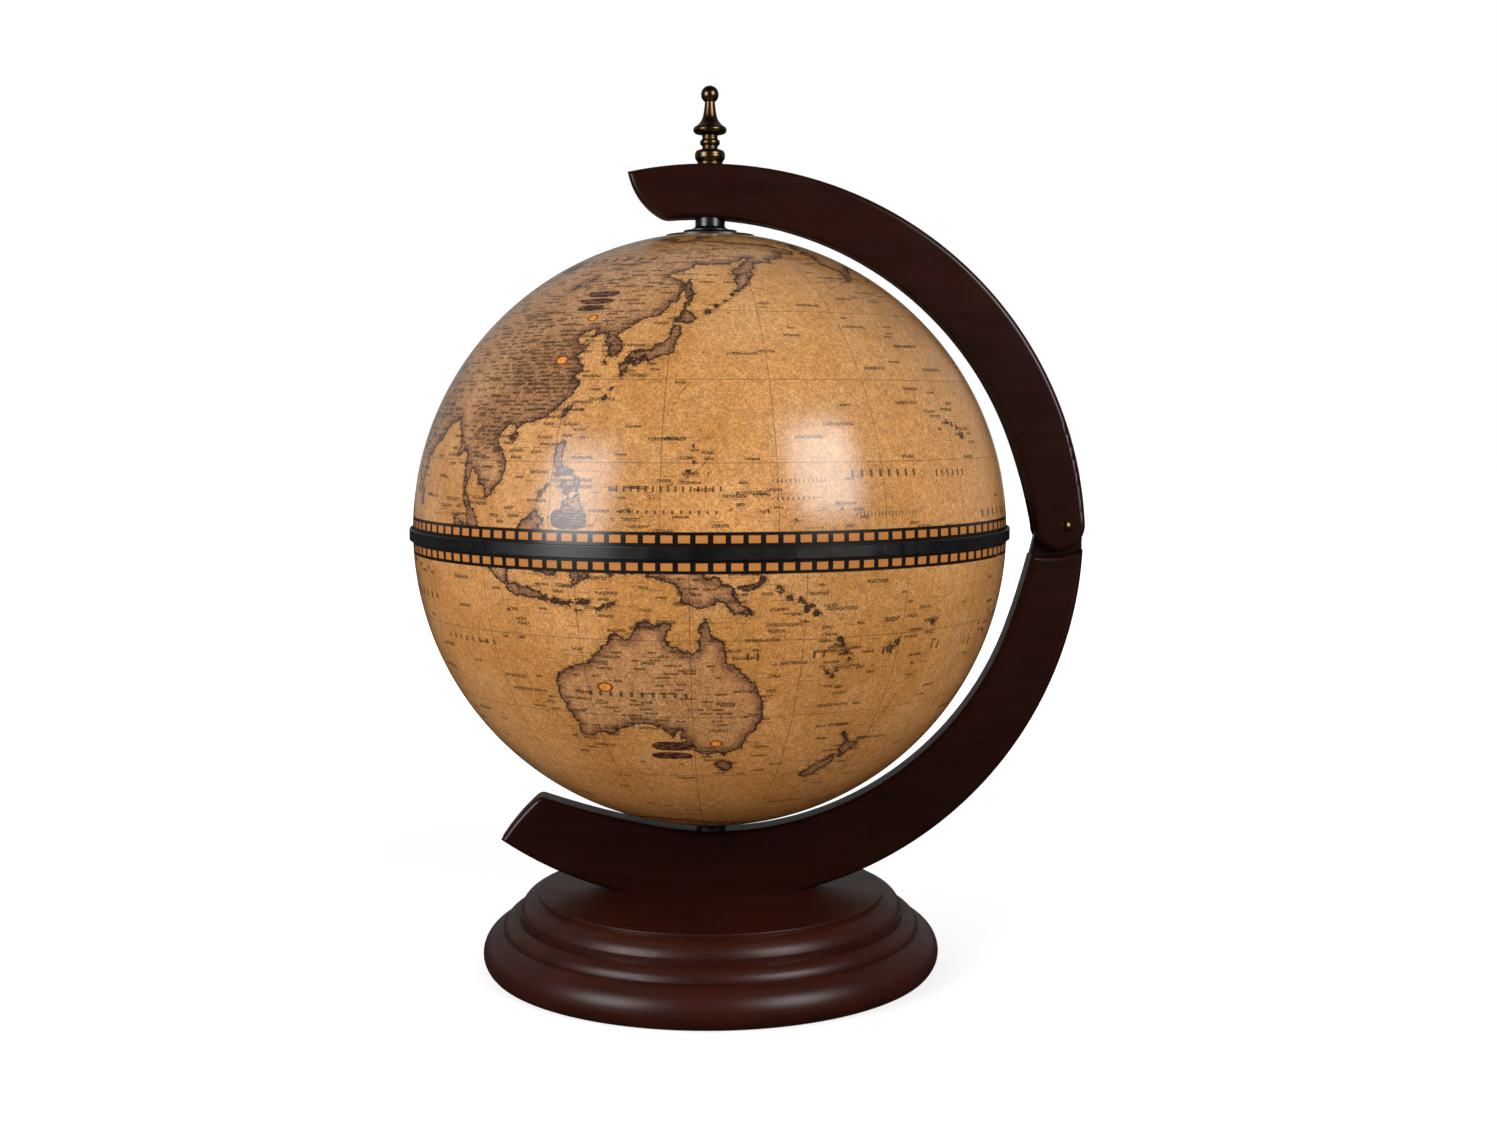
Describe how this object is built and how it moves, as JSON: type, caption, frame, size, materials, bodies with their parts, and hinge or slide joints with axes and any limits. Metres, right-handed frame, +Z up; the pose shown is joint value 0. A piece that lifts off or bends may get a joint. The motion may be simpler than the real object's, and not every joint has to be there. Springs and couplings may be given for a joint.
{
  "type": "table globe with opening halves",
  "caption": "Table globe on a turned round base, carried by a C-shaped arm hinged beside the equator; it opens there to hold a bottle and glasses.",
  "frame": {"origin": "middle of the base's underside, on the globe's axis", "axes": "+Z up along the globe's axis, +X towards the hinge, -Y the front"},
  "size_m": [0.3771, 0.3338, 0.492],
  "materials": {
    "mahogany": "semi-gloss stained varnish",
    "beech": "plain",
    "felt": "felt",
    "steel": "zinc plated",
    "antique_brass": "antique, polished on the high spots",
    "brass_screws": "bright",
    "map_varnish": "printed antique map under gloss varnish",
    "lining": "aged parchment print",
    "black_plastic": "black, glossy",
    "tray_plastic": "fine matt grain"
  },
  "bodies": {
    "stand": {"base": "mahogany", "base_felt": "felt", "arm_screws": "steel", "arm_dowels": "beech", "lower_arm": "mahogany", "bottom_spindle": "steel", "bottom_collar": "black_plastic", "bottom_washer": "steel", "bottom_nut": "steel"},
    "swing_arm": {"upper_arm": "mahogany", "hinge_barrel": "antique_brass", "hinge_screw": "antique_brass", "finial": "antique_brass", "top_spindle": "steel", "top_collar": "black_plastic", "top_washer": "steel", "top_nut": "steel"},
    "upper_half": {"upper_shell": "map_varnish", "upper_lining": "lining", "upper_rim_ring": "black_plastic", "top_pole_disc": "black_plastic", "top_hub": "black_plastic"},
    "lower_half": {"lower_shell": "map_varnish", "lower_lining": "lining", "lower_rim_ring": "black_plastic", "bottle_tray": "tray_plastic", "tray_screws": "brass_screws", "bottom_pole_disc": "black_plastic", "bottom_hub": "black_plastic"}
  },
  "joints": [
    {"name": "arm_hinge", "type": "hinge", "parent": "stand", "child": "swing_arm", "pos_m": [0.1993, 0, 0.2485], "axis": [0, 1, 0], "range_deg": [0, 98]},
    {"name": "upper_half_spin", "type": "hinge", "parent": "swing_arm", "child": "upper_half", "pos_m": [0, 0, 0.2462], "axis": [0, 0, 1], "continuous": true},
    {"name": "lower_half_spin", "type": "hinge", "parent": "stand", "child": "lower_half", "pos_m": [0, 0, 0.2462], "axis": [0, 0, 1], "continuous": true}
  ]
}
